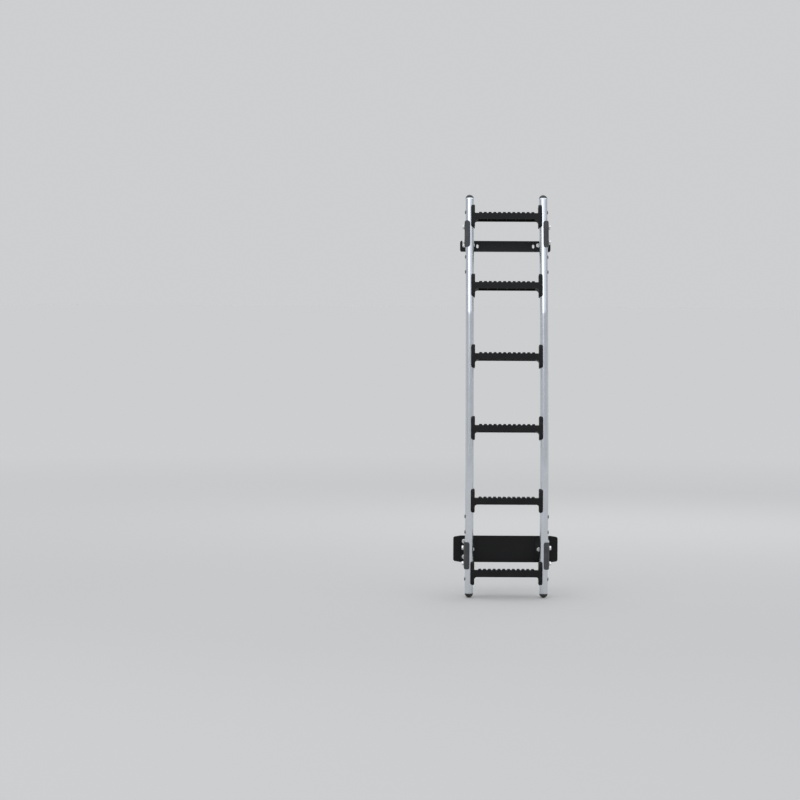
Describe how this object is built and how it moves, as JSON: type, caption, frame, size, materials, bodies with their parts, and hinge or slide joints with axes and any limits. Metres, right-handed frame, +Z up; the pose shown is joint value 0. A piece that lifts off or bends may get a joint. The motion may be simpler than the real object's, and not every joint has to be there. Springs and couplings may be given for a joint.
{
  "type": "van rear door ladder",
  "caption": "Fixed six-rung rear door ladder with two bent tube stiles, moulded rungs and stand-off brackets on an upper bar and a lower plate.",
  "frame": {"origin": "centre of the lower plate's back face, midway between the two door bolts", "axes": "+Z up along the lower, upright run of the stiles; +Y from the climbing side to the door; +X to the climber's right"},
  "size_m": [0.35, 0.293, 1.3424],
  "materials": {
    "stile_aluminium": "satin silver anodised tube",
    "rung_plastic": "fine-grained black moulding",
    "bracket_paint": "satin dark grey powder coat",
    "plate_paint": "glossy black powder coat",
    "cap_plastic": "smooth black moulding",
    "plug_plastic": "smooth grey moulding",
    "zinc_bolt": "bright zinc plate",
    "zinc_washer": "zinc plate",
    "insert_steel": "zinc plate",
    "screw_steel": "plain stainless steel"
  },
  "bodies": {
    "root": {"stile_left": "stile_aluminium", "lower_bracket_left": "bracket_paint", "upper_bracket_left": "bracket_paint", "stile_right": "stile_aluminium", "lower_bracket_right": "bracket_paint", "upper_bracket_right": "bracket_paint", "rung_1": "rung_plastic", "rung_2": "rung_plastic", "rung_3": "rung_plastic", "rung_4": "rung_plastic", "rung_5": "rung_plastic", "rung_6": "rung_plastic", "lower_plate": "plate_paint", "bottom_caps": "cap_plastic", "top_caps": "cap_plastic", "upper_crossbar": "plate_paint", "clamp_bolts": "zinc_bolt", "lower_foot_bolts": "zinc_bolt", "upper_foot_bolts": "zinc_bolt", "door_bolts": "zinc_bolt", "clamp_washers": "zinc_washer", "lower_foot_washers": "zinc_washer", "upper_foot_washers": "zinc_washer", "clamp_insert_nuts": "insert_steel", "rung_screws": "screw_steel", "lower_hole_plugs": "plug_plastic", "upper_hole_plugs": "plug_plastic"}
  },
  "joints": []
}
